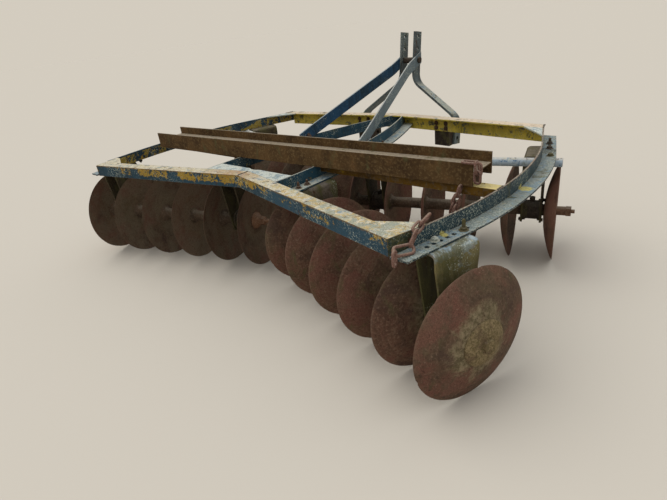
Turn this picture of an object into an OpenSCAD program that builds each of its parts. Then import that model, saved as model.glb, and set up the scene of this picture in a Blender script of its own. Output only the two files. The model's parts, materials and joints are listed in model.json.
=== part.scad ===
// Mounted tandem disc harrow with four gangs of six dished discs.
// Millimetres. +Y is the side of the three-point hitch, +X the right hand, +Z up.
// Plan places are measured from the machine's mark, the middle of the frame, and the whole
// machine is then moved back by mid_y, so that its box stands centred on the origin.

/* [Discs] */
// Diameter of a disc
disc_d = 560; // [460:5:620]
// Thickness of a disc
disc_t = 5; // [4:0.5:6]
// Depth of the dish
dish_h = 64; // [50:1:70]
// Side of the square axle
axle_side = 30; // [26:1:32]

/* [Gangs] */
// Number of discs on a gang
disc_count = 6; // [6:1:6]
// Angle of every gang to the line across the machine
gang_angle = 17; // [14:0.5:18]
// Distance between the discs of the rear gangs
rear_pitch = 254; // [250:1:256]
// Distance between the discs of the front gangs
front_pitch = 230; // [228:1:232]
// Half distance between the inner discs of the rear gangs
rear_inner_x = 203.5; // [195:0.5:215]
// Place of the inner discs of the rear gangs along the machine
rear_inner_y = -309; // [-325:1:-295]
// Half distance between the outer discs of the front gangs
front_outer_x = 1277; // [1272:1:1285]
// Place of the outer discs of the front gangs along the machine
front_outer_y = 604; // [590:1:615]

/* [Spools and hangers] */
// Radius of a plain spool's tube
spool_r = 33; // [31:1:36]
// Radius of a spool's flared end
flare_r = 54; // [50:1:58]
// Radius of the journal that turns in a bearing
journal_r = 33; // [31:0.5:35]
// Radius of a bearing housing
housing_r = 54; // [50:1:58]
// Width of a hanger at its top, across the axle
hanger_w = 210; // [190:2:230]
// Width of a hanger at its foot
hanger_foot_w = 140; // [128:2:160]
// Depth of a hanger along the axle
hanger_d = 110; // [106:1:114]
// Thickness of a hanger's plate
hanger_t = 10; // [8:1:12]

/* [Frame] */
// Height of the frame's top edge above the ground
frame_top = 690; // [670:1:720]
// Thickness of the frame's angle iron
iron_t = 8; // [6:0.5:9]
// Height of the rear bar's and side arcs' web
web_h = 70; // [65:1:76]
// Height of the front bar's web
front_web_h = 100; // [95:1:110]
// Width of the angle iron's flange
flange_w = 76; // [72:1:80]
// Half width of the rear bar at its corners
rear_half = 1183; // [1176:1:1190]
// Place of the rear bar's corners
rear_corner_y = -843; // [-850:1:-835]
// Place of the rear bar's bend
rear_bend_y = -579; // [-590:1:-570]
// Place of the front bar's corners
front_corner_y = 872; // [865:1:880]
// Place of the front bar's bend
front_bend_y = 986; // [975:1:995]
// Radius of a side arc, to the outer face of its web
arc_r = 1920; // [1900:5:1940]
// Radius of an inner rail, to the outer face of its web
rail_r = 3154; // [3140:2:3170]

/* [Mast] */
// Half distance between the mast's uprights, to the middle of each
mast_half = 55; // [50:1:60]
// Height of the mast's top
mast_top = 1240; // [1220:2:1260]
// Width of a mast bar
mast_w = 80; // [74:2:90]
// Thickness of a mast bar
mast_t = 15; // [12:1:16]
// Radius of the top link's holes
top_hole_r = 12.9; // [12.5:0.1:13.5]
// Height of the lower links' pins
lower_pin_z = 525; // [515:1:535]
// Radius of the bores for the lower links' pins
lower_bore_r = 14.6; // [14.4:0.1:15]
// Place of the lower links' pins along the machine
lower_pin_y = 1030; // [1024:1:1036]

/* [Ballast] */
// Length of the ballast beam
beam_l = 2380; // [2300:10:2400]
// Depth of the beam's section
beam_depth = 200; // [190:1:204]
// Width of the beam's flanges
beam_flange = 100; // [95:1:104]

/* [Hidden] */
$fn = 64;

blue = [0.13, 0.27, 0.38];
yellow = [0.72, 0.60, 0.16];
rust = [0.34, 0.22, 0.17];
dark_rust = [0.24, 0.18, 0.15];
moss = [0.33, 0.35, 0.20];
steel_grey = [0.36, 0.36, 0.34];

disc_r = disc_d / 2;
axle_z = disc_r;
dish_r = (disc_r * disc_r + dish_h * dish_h) / (2 * dish_h);
run_fit = 0.05;
touch = 0.1;
web_low = frame_top - web_h;
flange_top = web_low + iron_t;

// Gangs, all seen along a local x axis that starts at the disc whose hollow side is bare
// and runs the way that the discs bulge: outward on the rear, inward on the front.
last_disc = disc_count - 1;
front_inner_x = front_outer_x - last_disc * front_pitch * cos(gang_angle);
front_inner_y = front_outer_y - last_disc * front_pitch * sin(gang_angle);
// Columns: pitch, first hanger's place, last hanger's distance from the last disc, length of
// the collar at the bare end
ROW_PITCH = 0;
ROW_FIRST = 1;
ROW_LAST = 2;
ROW_COLLAR = 3;
rear_row = [rear_pitch, 150, 120, 44];
front_row = [front_pitch, 132, 97, 109];

rear_edge_y = rear_inner_y - last_disc * rear_pitch * sin(gang_angle)
    - disc_r * cos(gang_angle)
    - (sqrt(pow(dish_r + disc_t, 2) - disc_r * disc_r) - (dish_r - dish_h)) * sin(gang_angle);
foot_lean = 8;
mast_front_y = lower_pin_y + (mast_top - lower_pin_z) * sin(foot_lean)
    + mast_w / 2 * cos(foot_lean);
mid_y = (rear_edge_y + mast_front_y) / 2;

// Side arc: a circle with a straight tangent at each end
arc_rear_a = -12;
arc_front_a = 19.5;
arc_out_x = 1314;
arc_c = [arc_out_x - arc_r, -130];
arc_web_rear_y = -745;
arc_flange_rear_y = -853;
straight_l = 600;

// Inner rail's circle
rail_out_x = 308;
rail_c = [rail_out_x - rail_r, -346];

// Ground that holds the right inner rail: where it starts along the machine, and its size
rail_room_y = -1000;
rail_room = [600, 2200];

// Reach of the shapes that trim the frame: past all its edges, and past the side arcs' webs
wide = 2000;
trim_x = 1250;

// Ballast beam: it lies a little askew on the rails
beam_skew = 2.6;
beam_mid = [6, -210];
beam_flange_t = 8.5;
beam_web_t = 6;

module settle() {
    translate([0, -mid_y, 0]) children();
}

module both(side) {
    if (side > 0) children();
    else mirror([1, 0, 0]) children();
}

// Plan of the ground inside a side arc, out to o past the outer face of its web
module inside_arc_2d(o) {
    r = arc_r + o;
    t0 = arc_c + r * [cos(arc_rear_a), sin(arc_rear_a)];
    t1 = arc_c + r * [cos(arc_front_a), sin(arc_front_a)];
    p0 = t0 + straight_l * [sin(arc_rear_a), -cos(arc_rear_a)];
    p1 = t1 + straight_l * [-sin(arc_front_a), cos(arc_front_a)];
    polygon([[-wide, p0[1]], p0, t0, t1, p1, [-wide, p1[1]]]);
    intersection() {
        translate(arc_c) circle(r, $fn = 360);
        polygon([t0 - [1, 0], t0, [wide, t0[1]], [wide, t1[1]], t1, t1 - [1, 0]]);
    }
}

// A layer of that ground between two heights, right and left together
module inside_arcs(o, low, high) {
    translate([0, 0, low]) linear_extrude(high - low) intersection() {
        inside_arc_2d(o);
        mirror([1, 0]) inside_arc_2d(o);
    }
}

module ring_2d(o0, o1) {
    difference() {
        inside_arc_2d(o1);
        inside_arc_2d(o0);
    }
}

// Side arc: web upright on the inside, flange at the bottom pointing outward
module side_arc_shape() {
    difference() {
        union() {
            translate([0, 0, web_low]) linear_extrude(web_h) intersection() {
                ring_2d(-iron_t, 0);
                translate([0, arc_web_rear_y]) square([wide, front_corner_y + 2 - arc_web_rear_y]);
            }
            translate([0, 0, web_low]) linear_extrude(iron_t) intersection() {
                ring_2d(-iron_t, flange_w - iron_t);
                translate([0, arc_flange_rear_y])
                    square([wide, front_corner_y + 2 - arc_flange_rear_y]);
            }
        }
        arc_holes();
    }
}

// Angle-setting holes along the flange, by how far each lies past the web's outer face
rear_hole_y = [-725, -690, -655, -620, -585, -515];
front_hole_y = [640, 680, 800];
hole_r = 9;
hole_out = 36;
module arc_holes() {
    for (y = rear_hole_y)
        translate([arc_x(y) + hole_out, y, web_low - 1]) cylinder(r = hole_r, h = iron_t + 2);
    for (y = front_hole_y)
        translate([arc_x(y) + hole_out, y, web_low - 1]) cylinder(r = hole_r, h = iron_t + 2);
}

// Outer face of a side arc's web at a place along the machine
function arc_x(y) =
    let (y0 = arc_c[1] + arc_r * sin(arc_rear_a), y1 = arc_c[1] + arc_r * sin(arc_front_a))
    y < y0 ? arc_c[0] + arc_r * cos(arc_rear_a) + (y - y0) * tan(-arc_rear_a)
    : y > y1 ? arc_c[0] + arc_r * cos(arc_front_a) - (y - y1) * tan(arc_front_a)
    : arc_c[0] + sqrt(arc_r * arc_r - pow(y - arc_c[1], 2));

module side_arc(side) {
    color(blue) settle() both(side) side_arc_shape();
}

// Rear bar: V in plan, web at the back, flange on top pointing forward, its ends turned
// forward inside the side arcs, with the corner filled to a plate
rear_slope = (rear_bend_y - rear_corner_y) / rear_half;
return_end_y = -672;
return_end_x = rear_half + 0.294 * (return_end_y - rear_corner_y);
corner_fill_x = rear_half - 141;
corner_fill_out = 1.466;
corner_fill = [corner_fill_x,
    rear_bend_y + flange_w - corner_fill_out - corner_fill_x * rear_slope];
corner_top = [rear_half + 9, return_end_y];
module rear_web_2d() {
    for (s = [1, -1]) {
        polygon([[0, rear_bend_y], [s * rear_half, rear_corner_y],
            [s * (rear_half - 1), rear_corner_y + iron_t + 0.4], [0, rear_bend_y + iron_t]]);
        polygon([[s * rear_half, rear_corner_y], [s * return_end_x, return_end_y],
            [s * (return_end_x - iron_t), return_end_y],
            [s * (rear_half - iron_t), rear_corner_y + 1]]);
    }
}

module rear_flange_2d() {
    for (s = [1, -1])
        polygon([[0, rear_bend_y], [s * rear_half, rear_corner_y],
            [s * return_end_x, return_end_y], [s * corner_top[0], corner_top[1]],
            [s * corner_fill[0], corner_fill[1]], [0, rear_bend_y + flange_w]]);
}

module rear_bar_shape() {
    intersection() {
        union() {
            translate([0, 0, web_low]) linear_extrude(web_h) rear_web_2d();
            translate([0, 0, frame_top - iron_t]) linear_extrude(iron_t) rear_flange_2d();
        }
        inside_arcs(-iron_t, web_low - 1, frame_top + 1);
    }
}

module rear_bar() {
    color(blue) settle() rear_bar_shape();
}

// Front bar: a shallow V with its bend forward, web in front, flange on top pointing back
front_half = 1078;
front_over = 1200;
front_slope = (front_bend_y - front_corner_y) / front_half;
module front_strip_2d(w) {
    for (s = [1, -1])
        polygon([[0, front_bend_y], [s * front_over, front_bend_y - front_over * front_slope],
            [s * front_over, front_bend_y - front_over * front_slope - w],
            [0, front_bend_y - w]]);
}

module front_bar_shape() {
    intersection() {
        union() {
            translate([0, 0, frame_top - front_web_h]) linear_extrude(front_web_h)
                front_strip_2d(iron_t);
            translate([0, 0, frame_top - iron_t]) linear_extrude(iron_t)
                front_strip_2d(flange_w);
        }
        inside_arcs(-iron_t, frame_top - front_web_h - 1, frame_top + 1);
    }
}

module front_bar() {
    color(yellow) settle() front_bar_shape();
}

// Plan of the room between the webs of the rear and the front bar
module between_bars_2d() {
    polygon([[0, rear_bend_y + iron_t],
        [trim_x, rear_bend_y + iron_t - trim_x * rear_slope],
        [trim_x, front_bend_y - iron_t - trim_x * front_slope], [0, front_bend_y - iron_t],
        [-trim_x, front_bend_y - iron_t - trim_x * front_slope],
        [-trim_x, rear_bend_y + iron_t - trim_x * rear_slope]]);
}

// Inner rail: web upright, flange at the bottom pointing outward
module rail_ring_2d(r0, r1) {
    intersection() {
        translate(rail_c) difference() {
            circle(r1, $fn = 360);
            circle(r0, $fn = 360);
        }
        between_bars_2d();
        translate([0, rail_room_y]) square(rail_room);
    }
}

module inner_rail_shape() {
    difference() {
        union() {
            translate([0, 0, web_low]) linear_extrude(web_h)
                rail_ring_2d(rail_r - iron_t, rail_r);
            translate([0, 0, web_low]) linear_extrude(iron_t)
                rail_ring_2d(rail_r - iron_t, rail_r + flange_w - iron_t);
        }
        rear_bar_shape();
        front_bar_shape();
    }
}

module inner_rail(side) {
    color(blue) settle() both(side) inner_rail_shape();
}

// Cross tie between an inner rail and a side arc: flat on top, web behind
tie_y = -250;
tie_w = 60;
tie_h = 40;
tie_t = 6;
module cross_tie_shape() {
    intersection() {
        difference() {
            translate([0, tie_y, 0]) union() {
                translate([rail_out_x / 2, 0, frame_top - tie_t]) cube([wide, tie_w, tie_t]);
                translate([rail_out_x / 2, 0, frame_top - tie_h]) cube([wide, tie_t, tie_h]);
            }
            translate([rail_c[0], rail_c[1], frame_top - tie_h - 1])
                cylinder(r = rail_r, h = tie_h + 2, $fn = 360);
        }
        inside_arcs(-iron_t, frame_top - tie_h - 1, frame_top + 1);
    }
}

module cross_tie(side) {
    color(yellow) settle() both(side) cross_tie_shape();
}

// Gusset plates: one at the rear bend between the rails, one in each front corner
gusset_leg = 170;
gusset_l = 43;
scallop_r = 70;
scallop_out = 60;
module gusset_plates() {
    rail_drop = rail_out_x * rear_slope;
    color(blue) settle() translate([0, 0, frame_top - iron_t]) linear_extrude(iron_t) {
        difference() {
            intersection() {
                translate([0, rear_bend_y + flange_w])
                    polygon([[0, 0], [rail_out_x, -rail_drop], [rail_out_x, gusset_l],
                        [-rail_out_x, gusset_l], [-rail_out_x, -rail_drop]]);
                translate(rail_c) circle(rail_r - iron_t, $fn = 360);
                mirror([1, 0]) translate(rail_c) circle(rail_r - iron_t, $fn = 360);
            }
            translate([0, rear_bend_y + flange_w + gusset_l + scallop_out])
                circle(r = scallop_r);
        }
        for (s = [1, -1])
            intersection() {
                translate([s * arc_x(front_corner_y - 80), front_corner_y - 80])
                    polygon([[s * 40, 60], [s * -gusset_leg, 60], [s * 60, -gusset_leg]]);
                polygon([[0, front_bend_y - flange_w],
                    [s * trim_x, front_bend_y - flange_w - trim_x * front_slope],
                    [s * trim_x, 0],
                    [0, 0]]);
                if (s > 0) inside_arc_2d(-iron_t);
                else mirror([1, 0]) inside_arc_2d(-iron_t);
            }
    }
}

// A bent flat bar's section: a centre line with its bends rounded, and the outline that lies
// half a thickness to each side of it
bend_steps = 6;
function unit(v) = v / norm(v);
function turned_by(v, a) = [v[0] * cos(a) - v[1] * sin(a), v[0] * sin(a) + v[1] * cos(a)];
function rounded(points, r) = [
    points[0],
    for (i = [1 : len(points) - 2])
        let (a = unit(points[i - 1] - points[i]), b = unit(points[i + 1] - points[i]),
            half = acos(a * b) / 2, centre = points[i] + unit(a + b) * r / sin(half),
            arm = points[i] + a * r / tan(half) - centre,
            sweep = (cross(a, b) > 0 ? -1 : 1) * (180 - 2 * half))
        for (k = [0 : bend_steps]) centre + turned_by(arm, sweep * k / bend_steps),
    points[len(points) - 1]
];
function beside(q, i, o) =
    let (d0 = unit(q[max(i, 1)] - q[max(i, 1) - 1]),
        d1 = unit(q[min(i + 1, len(q) - 1)] - q[min(i + 1, len(q) - 1) - 1]),
        n0 = [-d0[1], d0[0]], n1 = [-d1[1], d1[0]])
    q[i] + o * (n0 + n1) / (1 + n0 * n1);
module bent_2d(points, t, r) {
    q = rounded(points, r);
    polygon([for (i = [0 : len(q) - 1]) beside(q, i, t / 2),
        for (i = [len(q) - 1 : -1 : 0]) beside(q, i, -t / 2)]);
}

// Mast bar: from its foot beside the hitch bracket it bends in, then rises as an upright
foot_x = 415;
knee_z = 664;
neck_z = 908;
mast_bend_r = 110;
hole_zs = [1130, 1212];
bolt_z = 1052;
bolt_r = 12;
module lean_in() {
    translate([0, lower_pin_y, lower_pin_z]) rotate([-foot_lean, 0, 0])
        translate([0, 0, -lower_pin_z]) children();
}

module along_x(y, z, r, h) {
    translate([0, y, z]) rotate([0, 90, 0]) cylinder(r = r, h = h, center = true);
}

module mast_bar_shape() {
    lean_in() difference() {
        translate([0, mast_w / 2, 0]) rotate([90, 0, 0]) linear_extrude(mast_w)
            bent_2d([[foot_x, lower_pin_z - 40], [foot_x, knee_z], [mast_half, neck_z],
                [mast_half, mast_top]], mast_t, mast_bend_r);
        for (z = hole_zs) along_x(0, z, top_hole_r, 400);
        along_x(0, bolt_z, bolt_r + run_fit, 400);
        along_x(0, lower_pin_z, lower_bore_r, 1200);
    }
}

module mast_bar(side) {
    color(steel_grey) settle() both(side) mast_bar_shape();
}

// Bolt across the mast with a spacer between the uprights, heads outside the braces
brace_t = 10;
mast_out = mast_half + mast_t / 2;
module mast_bolt() {
    color(dark_rust) settle() lean_in() {
        along_x(0, bolt_z, 20, 2 * (mast_half - mast_t / 2));
        along_x(0, bolt_z, bolt_r, 2 * (mast_out + brace_t + 14));
        for (s = [1, -1])
            translate([s * (mast_out + brace_t + 7), 0, bolt_z]) rotate([0, 90, 0])
                cylinder(r = 21, h = 14, center = true, $fn = 6);
    }
}

// Mast brace: a flat on edge, straight beside the upright, then flared out and down to the
// inner face of the rail
brace_h = 75;
brace_slope = 0.385;
brace_bend_y = 985;
brace_foot_y = 150;
brace_foot_l = 90;
brace_bend_r = 300;
brace_head_y = 1140;
bolt_y = lower_pin_y + (bolt_z - lower_pin_z) * sin(foot_lean);
bolt_height = lower_pin_z + (bolt_z - lower_pin_z) * cos(foot_lean);
function rail_in_x(y) = rail_c[0] + sqrt(pow(rail_r - iron_t, 2) - pow(y - rail_c[1], 2));
module brace_shape() {
    x0 = mast_out + brace_t / 2;
    foot = [for (y = [brace_foot_y + brace_foot_l, brace_foot_y])
        [rail_in_x(y) - brace_t / 2 - touch, y]];
    difference() {
        intersection() {
            translate([0, 0, web_low]) linear_extrude(mast_top)
                bent_2d([[x0, brace_head_y + 40], [x0, brace_bend_y], foot[0], foot[1]],
                    brace_t, brace_bend_r);
            rotate([90, 0, 90]) linear_extrude(500)
                polygon([for (p = [[brace_head_y, 1], [brace_foot_y, 1],
                    [brace_foot_y, -1], [brace_head_y, -1]])
                    [p[0], bolt_height + (p[0] - bolt_y) * brace_slope + p[1] * brace_h / 2]]);
        }
        lean_in() along_x(0, bolt_z, bolt_r + run_fit, 800);
    }
}

module mast_brace(side) {
    color(blue) settle() both(side) brace_shape();
}

// Hitch bracket: a back plate on the front bar's face, two cheeks and a sleeve between them,
// bored through for the lower link's pin
cheek_t = 12;
cheek_in_x = 285;
cheek_out_x = foot_x - mast_t / 2;
cheek_front_y = lower_pin_y + 46;
sleeve_r = 38;
bracket_low = lower_pin_z - sleeve_r;
bracket_top = 665;
bracket_back_y = front_bend_y - 11;
module hitch_bracket_shape() {
    difference() {
        union() {
            translate([0, 0, bracket_low]) linear_extrude(bracket_top - bracket_low)
                polygon([[cheek_in_x, front_bend_y - cheek_in_x * front_slope],
                    [cheek_out_x, front_bend_y - cheek_out_x * front_slope],
                    [cheek_out_x, bracket_back_y], [cheek_in_x, bracket_back_y]]);
            for (x = [cheek_in_x, cheek_out_x - cheek_t])
                translate([x, 0, 0]) rotate([90, 0, 90]) linear_extrude(cheek_t)
                    polygon([[bracket_back_y - 5, bracket_low], [cheek_front_y - 20, bracket_low],
                        [cheek_front_y, bracket_low + 20], [cheek_front_y, lower_pin_z + 34],
                        [bracket_back_y - 5, bracket_top - 40]]);
            translate([cheek_in_x + 1, lower_pin_y, lower_pin_z]) rotate([0, 90, 0])
                cylinder(r = sleeve_r, h = cheek_out_x - cheek_in_x - 2);
        }
        translate([(cheek_in_x + cheek_out_x) / 2, 0, 0])
            along_x(lower_pin_y, lower_pin_z, lower_bore_r, 300);
    }
}

module hitch_bracket(side) {
    color(dark_rust) settle() both(side) hitch_bracket_shape();
}

// Local frame of a gang
module at_gang(row, side) {
    settle() both(side)
        if (row == "rear")
            translate([rear_inner_x, rear_inner_y, axle_z]) rotate([0, 0, -gang_angle]) children();
        else
            translate([front_outer_x, front_outer_y, axle_z]) rotate([0, 0, 180 + gang_angle])
                children();
}

function table_of(row) = row == "rear" ? rear_row : front_row;
function gang_l(row) = last_disc * table_of(row)[ROW_PITCH];
function hanger_places(row) =
    [table_of(row)[ROW_FIRST], gang_l(row) - table_of(row)[ROW_LAST]];

module turned() {
    rotate([90, 0, 90]) rotate_extrude() children();
}

// The dish circle of the disc whose rim lies at x, drawn with the radius along x and the
// axle along y
module dish_circle(place, grow) {
    translate([0, place + dish_h - dish_r]) circle(dish_r + grow, $fn = 360);
}

module disc_shape(place) {
    difference() {
        turned() intersection() {
            translate([0, place]) square([disc_r, dish_h + disc_t + 5]);
            difference() {
                dish_circle(place, disc_t);
                dish_circle(place, 0);
            }
        }
        translate([place, -axle_side / 2, -axle_side / 2])
            cube([dish_h + 20, axle_side, axle_side]);
    }
}

module discs(row, side) {
    color(rust) at_gang(row, side)
        for (i = [0 : last_disc]) disc_shape(i * table_of(row)[ROW_PITCH]);
}

// Plain spool from the bulge of one disc to the hollow of the next
bore_r = axle_side * 0.72;
flare_l = 34;
module spool_2d(from, to, low_r, high_r, mid_r) {
    difference() {
        translate([bore_r, from]) square([high_r - bore_r, to - from]);
        translate([mid_r, from + flare_l])
            square([high_r, to - from - 2 * flare_l]);
        translate([mid_r + flare_l, from + flare_l]) circle(flare_l);
        translate([mid_r + flare_l, to - flare_l]) circle(flare_l);
        if (low_r < high_r) translate([low_r, from - 1]) square([high_r, flare_l + 1]);
    }
}

module between_discs(i, pitch) {
    intersection() {
        difference() {
            children();
            dish_circle(i * pitch, disc_t);
        }
        dish_circle((i + 1) * pitch, 0);
    }
}

module spools(row, side) {
    pitch = table_of(row)[ROW_PITCH];
    color(rust) at_gang(row, side)
        for (i = [0 : last_disc - 1])
            turned() between_discs(i, pitch)
                spool_2d(i * pitch + dish_h, (i + 1) * pitch + dish_h,
                    i == 0 || i == last_disc - 1 ? journal_r : flare_r, flare_r,
                    i == 0 || i == last_disc - 1 ? journal_r : spool_r);
}

// Axle: square bar through discs and spools, a collar and nut at its bare end and a broad
// washer with a nut against the last disc's bulge
collar_r = 25;
nut_side = 42;
nut_l = 27;
end_nut_l = 12;
thread_r = 11;
thread_l = 18;
washer_r = 95;
washer_l = 14;
module axle(row, side) {
    l = gang_l(row);
    collar_l = table_of(row)[ROW_COLLAR];
    color(dark_rust) at_gang(row, side) {
        translate([dish_h - collar_l, -axle_side / 2, -axle_side / 2])
            cube([l + disc_t + washer_l + collar_l, axle_side, axle_side]);
        turned() intersection() {
            translate([0, dish_h - collar_l]) square([collar_r, collar_l + 2]);
            dish_circle(0, 0);
        }
        translate([dish_h - collar_l - nut_l, -nut_side / 2, -nut_side / 2])
            cube([nut_l, nut_side, nut_side]);
        translate([dish_h - collar_l - nut_l - thread_l, 0, 0]) rotate([0, 90, 0])
            cylinder(r = thread_r, h = thread_l + 1);
        turned() difference() {
            translate([0, l + dish_h - 8]) polygon([[0, 0], [washer_r, 0],
                [washer_r, 12], [washer_r - 35, disc_t + 8 + washer_l],
                [0, disc_t + 8 + washer_l]]);
            dish_circle(l, disc_t);
        }
        translate([l + dish_h + disc_t + washer_l, -nut_side / 2, -nut_side / 2])
            cube([end_nut_l, nut_side, nut_side]);
    }
}

// Hanger: a plate bent to an upturned U whose legs stand before and behind the bearing
bend_r = 24;
hanger_low = -58;
leg_hole_r = journal_r + 9;
module hanger_u_2d(inset) {
    w = hanger_d / 2 - inset;
    top = web_low - axle_z - inset;
    r = bend_r - inset;
    translate([-w, hanger_low - 1]) square([2 * w, top - r - hanger_low + 1]);
    translate([-w + r, hanger_low]) square([2 * w - 2 * r, top - hanger_low]);
    for (s = [1, -1]) translate([s * (w - r), top - r]) circle(r);
}

module hanger_shape(place) {
    top = web_low - axle_z;
    translate([place, 0, 0]) difference() {
        intersection() {
            translate([0, hanger_w, 0]) rotate([90, 0, 0]) linear_extrude(2 * hanger_w)
                difference() {
                    hanger_u_2d(0);
                    hanger_u_2d(hanger_t);
                    translate([-hanger_d, hanger_low - 2]) square([2 * hanger_d, 2]);
                }
            translate([-hanger_d, 0, 0]) rotate([90, 0, 90]) linear_extrude(2 * hanger_d) union() {
                polygon([[-hanger_w / 2, top], [-hanger_w / 2, top - 60],
                    [-hanger_foot_w / 2, 0], [hanger_foot_w / 2, 0],
                    [hanger_w / 2, top - 60], [hanger_w / 2, top]]);
                translate([-hanger_foot_w / 2, hanger_low + 20])
                    square([hanger_foot_w, 20 - hanger_low]);
                translate([-hanger_foot_w / 2 + 20, hanger_low])
                    square([hanger_foot_w - 40, 20 - hanger_low]);
                for (s = [1, -1])
                    translate([s * (hanger_foot_w / 2 - 20), hanger_low + 20]) circle(20);
            }
        }
        rotate([0, 90, 0]) cylinder(r = leg_hole_r, h = 2 * hanger_d, center = true);
    }
}

module hangers(row, side) {
    color(moss) at_gang(row, side)
        for (place = hanger_places(row)) hanger_shape(place);
}

// Bearing: a flanged housing between the hanger's legs with a grease cup on top
housing_l = hanger_d - 2 * hanger_t;
module bearing_shape(place) {
    translate([place, 0, 0]) difference() {
        union() {
            rotate([0, 90, 0]) cylinder(r = housing_r, h = housing_l, center = true);
            for (s = [1, -1])
                translate([s * (housing_l / 2 - 6), 0, 0]) rotate([0, 90, 0])
                    cylinder(r = housing_r + 8, h = 12, center = true);
            cylinder(r = 15, h = housing_r + 22);
        }
        rotate([0, 90, 0])
            cylinder(r = journal_r + run_fit, h = housing_l + 2, center = true);
    }
}

module bearings(row, side) {
    color(dark_rust) at_gang(row, side)
        for (place = hanger_places(row)) bearing_shape(place);
}

// Gang tube: it lies behind the front gang's hangers, above the discs
tube_r = 23;
module gang_tube(side) {
    l = gang_l("front");
    color(blue) at_gang("front", side)
        translate([-6, hanger_w / 2 + tube_r, web_low - axle_z - tube_r - touch])
            rotate([0, 90, 0]) difference() {
                cylinder(r = tube_r, h = l - 40);
                translate([0, 0, -1]) cylinder(r = tube_r - 4, h = l - 38);
            }
}

// Ballast beam: an H section lying on its side
module ballast_beam() {
    color(rust) settle() translate([beam_mid[0], beam_mid[1], frame_top])
        rotate([0, 0, beam_skew]) translate([-beam_l / 2, 0, 0]) {
            for (s = [1, -1])
                translate([0, s * (beam_depth - beam_flange_t) / 2 - beam_flange_t / 2, 0])
                    cube([beam_l, beam_flange_t, beam_flange]);
            translate([0, -beam_depth / 2 + 1, (beam_flange - beam_web_t) / 2])
                cube([beam_l, beam_depth - 2, beam_web_t]);
        }
}

// One chain link, its long way along x and lying in the xy plane
wire_d = 11;
link_l = 66;
link_w = 38;
module chain_link() {
    translate([0, 0, -wire_d / 2]) linear_extrude(wire_d) difference() {
        link_2d(0);
        link_2d(wire_d);
    }
}

module link_2d(inset) {
    r = link_w / 2 - inset;
    half = link_l / 2 - link_w / 2;
    square([2 * half, 2 * r], center = true);
    for (s = [1, -1]) translate([s * half, 0]) circle(r, $fn = 24);
}

// Run of chain in an upright plane, by the slope of each link, 0 along x and 90 straight down.
// Every other link stands on edge, and only those follow a bend. Each link's near end reaches
// link_hold back from the far end of the one before it, so that their wires just miss.
link_gap = 0.3;
bend_in = 1.1;
link_reach = link_l - wire_d;
link_hold = link_w - wire_d + link_gap
    - 2 * sqrt(pow(link_w / 2 - wire_d, 2) - wire_d * wire_d / 4);
function down(a) = [cos(a), -sin(a)];
function near_end(slopes, i) =
    i == 0 ? [0, 0]
    : near_end(slopes, i - 1) + link_reach * down(slopes[i - 1]) - link_hold * down(slopes[i])
        - bend_in * sin(slopes[i] - slopes[i - 1]) * down(slopes[i - 1]);
module chain_run(slopes) {
    for (i = [0 : len(slopes) - 1])
        translate([near_end(slopes, i)[0], 0, near_end(slopes, i)[1]])
            rotate([0, slopes[i], 0]) translate([link_reach / 2, 0, 0])
                rotate([(i % 2) * 90, 0, 0]) chain_link();
}

// Chain round the beam's right end: one run lies on the near flange's top edge and drops past
// the beam's end, the other hangs from below the beam in front of the cross tie
top_run = [0, 90, 90];
low_run = [100, 112, 112, 100];
low_run_x = 1136;
low_run_out = 11;
top_run_out = 15;
wire_on = wire_d / 2 + link_gap;
end_clear = link_w / 2 + bend_in + 2 * link_gap;
module beam_chain() {
    color(rust) settle() translate([beam_mid[0], beam_mid[1], frame_top])
        rotate([0, 0, beam_skew]) {
            translate([beam_l / 2 + end_clear - link_reach, -beam_depth / 2 - top_run_out,
                beam_flange + wire_on]) chain_run(top_run);
            translate([low_run_x, -beam_depth / 2 - low_run_out, -wire_on]) chain_run(low_run);
        }
}

// Chain at the rear end of the right side arc: two links hooked over the web, three that lie
// on the flange, leaning over by half a right angle
corner_run_y = -862;
hook_y = -700;
corner_chain_out = 34;
lying_h = (link_w + wire_d) / 2 * sin(45) + link_gap;
module at_arc(y, out, z) {
    translate([arc_x(y) + out, y, z]) rotate([0, 0, arc_rear_a]) children();
}

module corner_chain() {
    color(rust) settle() {
        at_arc(corner_run_y, corner_chain_out, flange_top + lying_h)
            rotate([0, 0, 90]) rotate([45, 0, 0]) chain_run([0, 0, 0]);
        at_arc(hook_y, end_clear - link_reach, frame_top + wire_on) chain_run([0, 90]);
    }
}

rear_bar();
front_bar();
side_arc(1);  // side_arc_right
side_arc(-1);  // side_arc_left
inner_rail(1);  // inner_rail_right
inner_rail(-1);  // inner_rail_left
cross_tie(1);  // cross_tie_right
cross_tie(-1);  // cross_tie_left
gusset_plates();
mast_bar(1);  // mast_bar_right
mast_bar(-1);  // mast_bar_left
mast_brace(1);  // mast_brace_right
mast_brace(-1);  // mast_brace_left
mast_bolt();
hitch_bracket(1);  // hitch_bracket_right
hitch_bracket(-1);  // hitch_bracket_left
gang_tube(1);  // gang_tube_right
gang_tube(-1);  // gang_tube_left
ballast_beam();
beam_chain();
corner_chain();
hangers("rear", 1);  // hangers_rear_right
hangers("rear", -1);  // hangers_rear_left
hangers("front", 1);  // hangers_front_right
hangers("front", -1);  // hangers_front_left
bearings("rear", 1);  // bearings_rear_right
bearings("rear", -1);  // bearings_rear_left
bearings("front", 1);  // bearings_front_right
bearings("front", -1);  // bearings_front_left
discs("rear", 1);  // discs_rear_right
discs("rear", -1);  // discs_rear_left
discs("front", 1);  // discs_front_right
discs("front", -1);  // discs_front_left
spools("rear", 1);  // spools_rear_right
spools("rear", -1);  // spools_rear_left
spools("front", 1);  // spools_front_right
spools("front", -1);  // spools_front_left
axle("rear", 1);  // axle_rear_right
axle("rear", -1);  // axle_rear_left
axle("front", 1);  // axle_front_right
axle("front", -1);  // axle_front_left
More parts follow.
